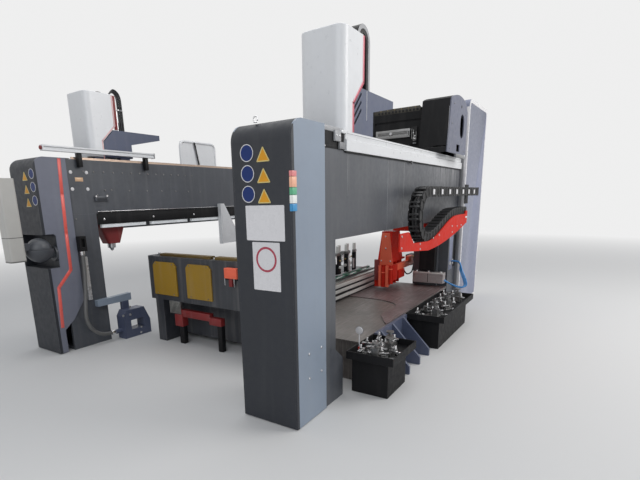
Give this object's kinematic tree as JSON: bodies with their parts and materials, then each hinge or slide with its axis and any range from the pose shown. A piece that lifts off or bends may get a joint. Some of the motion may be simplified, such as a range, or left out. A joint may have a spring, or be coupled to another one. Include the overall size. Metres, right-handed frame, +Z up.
{
  "type": "friction stir welding machine",
  "caption": "Friction stir welding machine: twin beam portals with upright ram towers, a cross slide with a side head, an energy chain and a work table between them.",
  "frame": {"origin": "middle of the bounding box at floor level", "axes": "+X along the beams from the end covers to the guard panels, +Y from the near portal with the drum to the far portal, +Z up"},
  "size_m": [5.08, 3.703, 2.642],
  "materials": {
    "dark_paint": "satin",
    "blue_grey_paint": "satin",
    "white_paint": "satin",
    "steel": "brushed",
    "red_paint": "semi gloss",
    "aluminium": "satin",
    "mustard_paint": "satin",
    "brass_strip": "brushed",
    "floor_steel": "worn",
    "black_plastic": "matte",
    "grey_plastic": "satin",
    "hose_rubber": "matte"
  },
  "bodies": {
    "machine_frame": {"front_legs": "dark_paint", "rear_legs": "dark_paint", "outer_beams": "dark_paint", "inner_beams": "dark_paint", "near_end_cover": "dark_paint", "far_end_cover": "dark_paint", "table_frame": "dark_paint", "control_box": "dark_paint", "base_clamp": "dark_paint", "tray_bracket": "dark_paint", "plinths": "dark_paint", "side_trays": "dark_paint", "chain_anchor": "dark_paint", "outer_plates": "blue_grey_paint", "near_inner_plate": "blue_grey_paint", "far_inner_plate": "blue_grey_paint", "guard_panels": "blue_grey_paint", "clamp_bar": "blue_grey_paint", "cable_ducts": "white_paint", "top_rail": "white_paint", "window_guard": "white_paint", "rear_gusset": "white_paint", "guide_rails": "steel", "valve_unit": "steel", "leg_conduit": "steel", "tray_clamps": "steel", "light_bars": "steel", "side_profiles": "aluminium", "end_panels": "mustard_paint", "clamp_strips": "brass_strip", "edge_strips": "brass_strip", "floor_plate": "floor_steel", "side_chain": "black_plastic", "slot_box": "black_plastic", "console_mount": "grey_plastic", "leg_hose": "hose_rubber"},
    "near_tower": {"near_tower_saddle": "dark_paint", "near_tower_cover": "white_paint", "near_tower_chain": "black_plastic"},
    "near_ram": {"near_tower_ram": "steel", "near_tower_head": "red_paint"},
    "near_tool": {"near_tower_tool": "steel"},
    "far_tower": {"far_tower_saddle": "dark_paint", "far_tower_cover": "white_paint", "far_tower_chain": "black_plastic"},
    "far_ram": {"far_tower_ram": "steel", "far_tower_head": "red_paint"},
    "far_tool": {"far_tower_tool": "steel"},
    "cross_carriage": {"cross_base": "dark_paint", "drum_housing": "dark_paint", "drum_end_plate": "blue_grey_paint", "chain_arm": "red_paint"},
    "cross_arm": {"cross_slide": "dark_paint", "cross_guide": "steel", "cross_chain": "black_plastic"},
    "side_head": {"side_ram": "steel", "head_bracket": "red_paint", "side_spindle": "steel"},
    "side_tool_body": {"side_tool": "steel"},
    "console": {"console_column": "white_paint"}
  },
  "joints": [
    {"name": "near_tower_x", "type": "slide", "parent": "machine_frame", "child": "near_tower", "axis": [1, 0, 0], "range_m": [-0.04, 0.45]},
    {"name": "near_ram_z", "type": "slide", "parent": "near_tower", "child": "near_ram", "axis": [0, 0, 1], "range_m": [-0.4, 0]},
    {"name": "near_tool_spin", "type": "hinge", "parent": "near_ram", "child": "near_tool", "pos_m": [-1.292, -1.2515, 1.27], "axis": [0, 0, 1], "continuous": true},
    {"name": "far_tower_x", "type": "slide", "parent": "machine_frame", "child": "far_tower", "axis": [1, 0, 0], "range_m": [0, 0.5]},
    {"name": "far_ram_z", "type": "slide", "parent": "far_tower", "child": "far_ram", "axis": [0, 0, 1], "range_m": [-0.23, 0.1]},
    {"name": "far_tool_spin", "type": "hinge", "parent": "far_ram", "child": "far_tool", "pos_m": [-1.381, 1.5635, 1.029], "axis": [0, 0, 1], "continuous": true},
    {"name": "cross_x", "type": "slide", "parent": "machine_frame", "child": "cross_carriage", "axis": [1, 0, 0], "range_m": [-0.5, 0.2], "deforming": ["side_chain"]},
    {"name": "cross_y", "type": "slide", "parent": "cross_carriage", "child": "cross_arm", "axis": [0, 1, 0], "range_m": [-0.06, 0.015]},
    {"name": "side_ram_z", "type": "slide", "parent": "cross_arm", "child": "side_head", "axis": [0, 0, 1], "range_m": [-0.035, 0.3]},
    {"name": "side_tool_spin", "type": "hinge", "parent": "side_head", "child": "side_tool_body", "pos_m": [0.91, -0.7665, 0.545], "axis": [0, 1, 0], "continuous": true},
    {"name": "console_swivel", "type": "hinge", "parent": "machine_frame", "child": "console", "pos_m": [-2.25, 1.4185, 1.0555], "axis": [0, 0, 1], "range_deg": [-50, 50]}
  ]
}
